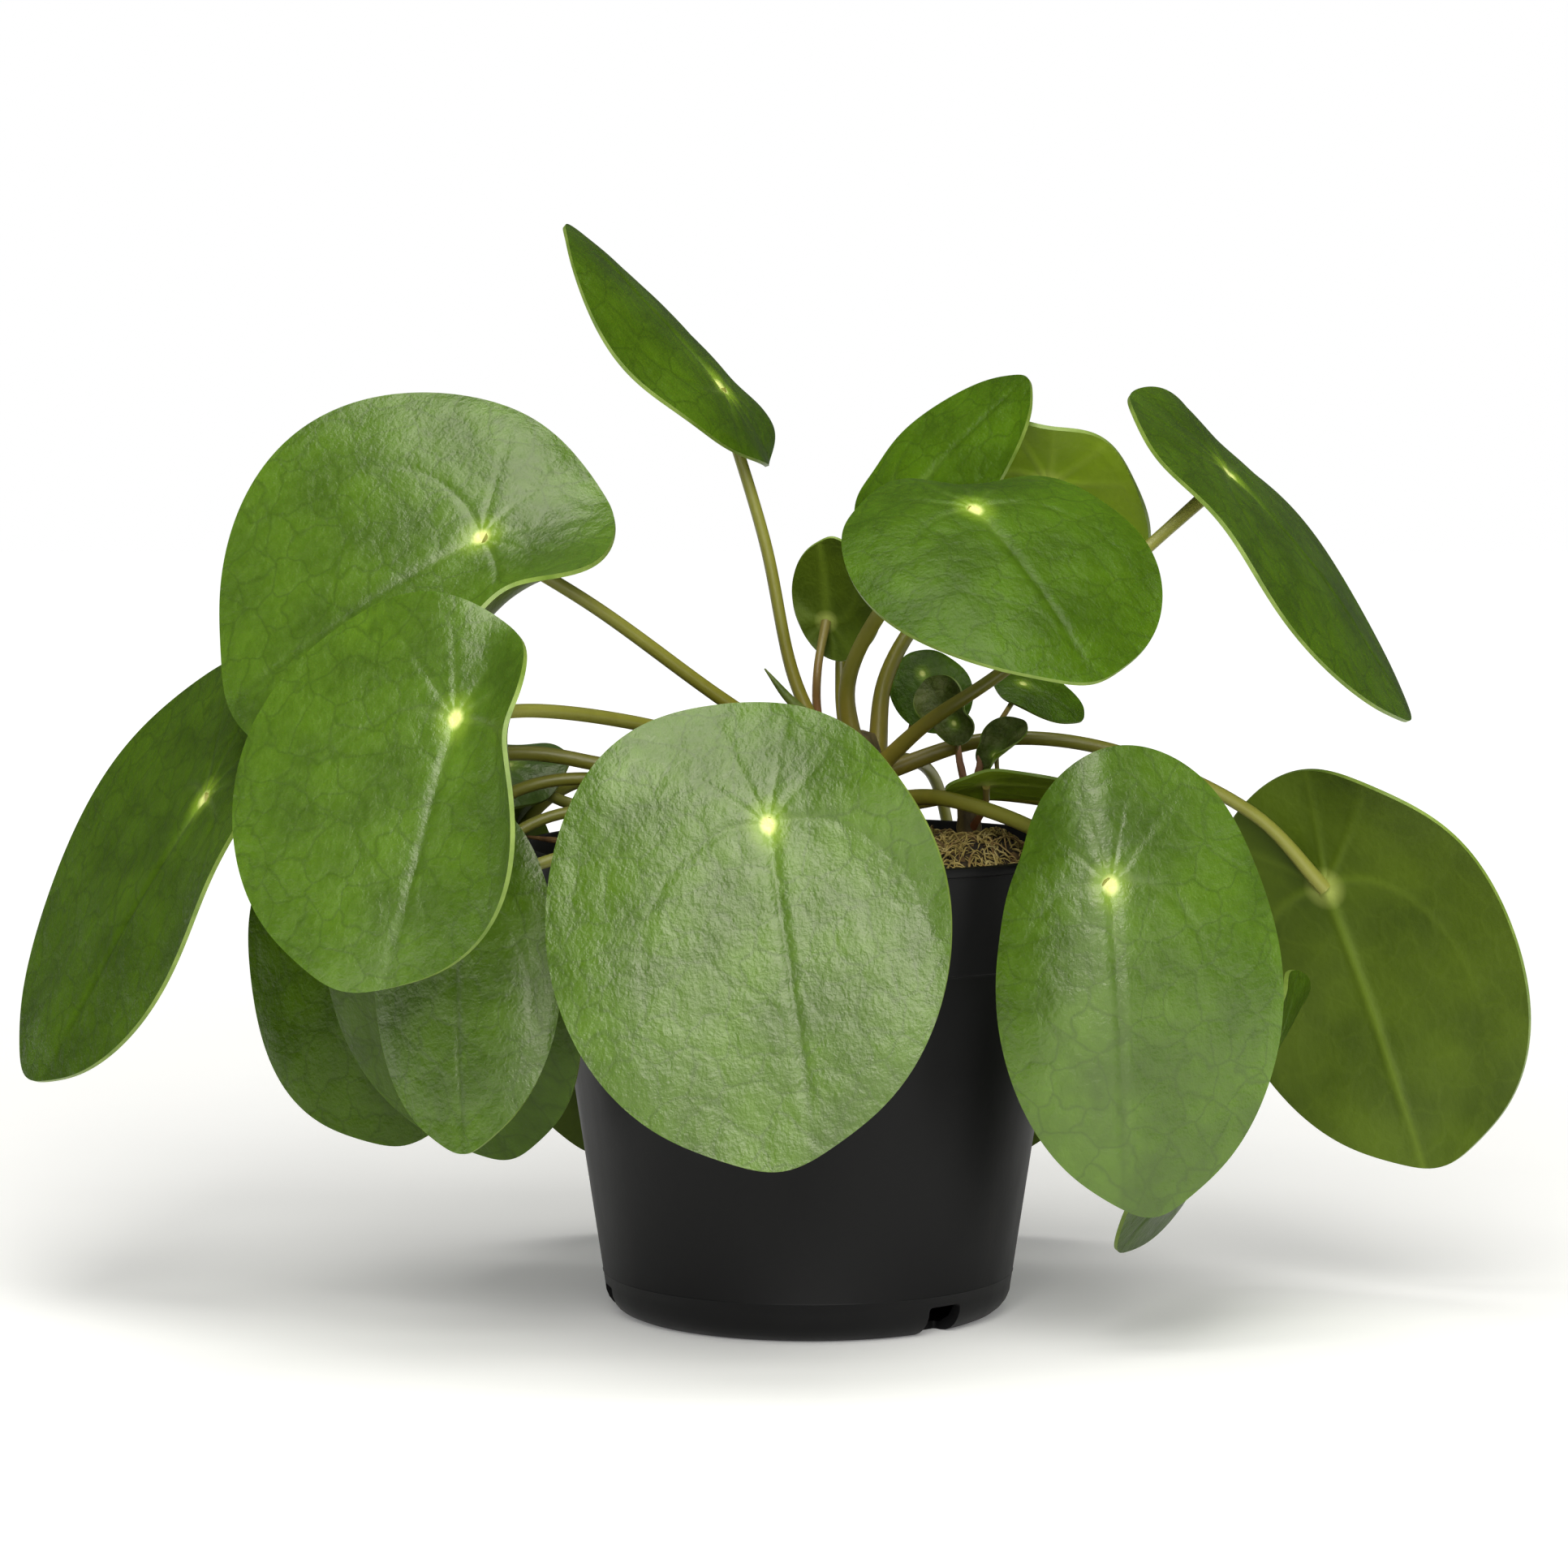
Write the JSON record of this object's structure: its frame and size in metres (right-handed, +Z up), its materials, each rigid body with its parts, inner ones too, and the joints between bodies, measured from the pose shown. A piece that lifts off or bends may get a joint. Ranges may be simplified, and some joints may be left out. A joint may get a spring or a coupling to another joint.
{
  "type": "potted chinese money plant",
  "caption": "Potted Chinese money plant: round shield leaves on long olive stalks fan out from a short trunk over a black round nursery pot of peat.",
  "frame": {"origin": "centre of the pot's flat underside, on the surface that it stands on", "axes": "+Z up along the pot, +X to the right of the front view, +Y away from the front view"},
  "size_m": [0.3157, 0.1915, 0.2245],
  "materials": {
    "pot_plastic": "injection-moulded black polypropylene, satin",
    "peat": "damp brown peat with tan fibres",
    "bark": "brown corky young stem",
    "leaf_stalk": "smooth olive-green leaf stalk",
    "leaf": "waxy green leaf, satin, pale dot and edge",
    "sheath": "dry pinkish-brown papery sheath",
    "withered_stem": "dry brown withered stalk"
  },
  "bodies": {
    "root": {"pot": "pot_plastic", "soil": "peat", "trunk": "bark", "side_shoot": "bark", "leaf_a": "leaf", "stalk_a": "leaf_stalk", "leaf_b": "leaf", "stalk_b": "leaf_stalk", "leaf_c": "leaf", "stalk_c": "leaf_stalk", "leaf_d": "leaf", "stalk_d": "leaf_stalk", "leaf_e": "leaf", "stalk_e": "leaf_stalk", "leaf_f": "leaf", "stalk_f": "leaf_stalk", "leaf_g": "leaf", "stalk_g": "leaf_stalk", "leaf_h": "leaf", "stalk_h": "leaf_stalk", "leaf_i": "leaf", "stalk_i": "leaf_stalk", "leaf_j": "leaf", "stalk_j": "leaf_stalk", "leaf_k": "leaf", "stalk_k": "leaf_stalk", "leaf_l": "leaf", "stalk_l": "leaf_stalk", "leaf_t": "leaf", "stalk_t": "leaf_stalk", "leaf_u": "leaf", "stalk_u": "leaf_stalk", "leaf_v": "leaf", "stalk_v": "leaf_stalk", "leaf_w": "leaf", "stalk_w": "leaf_stalk", "leaf_x": "leaf", "stalk_x": "leaf_stalk", "leaf_y": "leaf", "stalk_y": "leaf_stalk", "leaf_z": "leaf", "stalk_z": "leaf_stalk", "leaf_o": "leaf", "stalk_o": "leaf_stalk", "leaf_n": "leaf", "stalk_n": "leaf_stalk", "leaf_p": "leaf", "stalk_p": "leaf_stalk", "leaf_q": "leaf", "stalk_q": "leaf_stalk", "leaf_r": "leaf", "stalk_r": "leaf_stalk", "leaf_s": "leaf", "stalk_s": "leaf_stalk", "stipule_left": "sheath", "stipule_right": "sheath", "trunk_bud": "leaf_stalk", "withered_stalk": "withered_stem"}
  },
  "joints": []
}
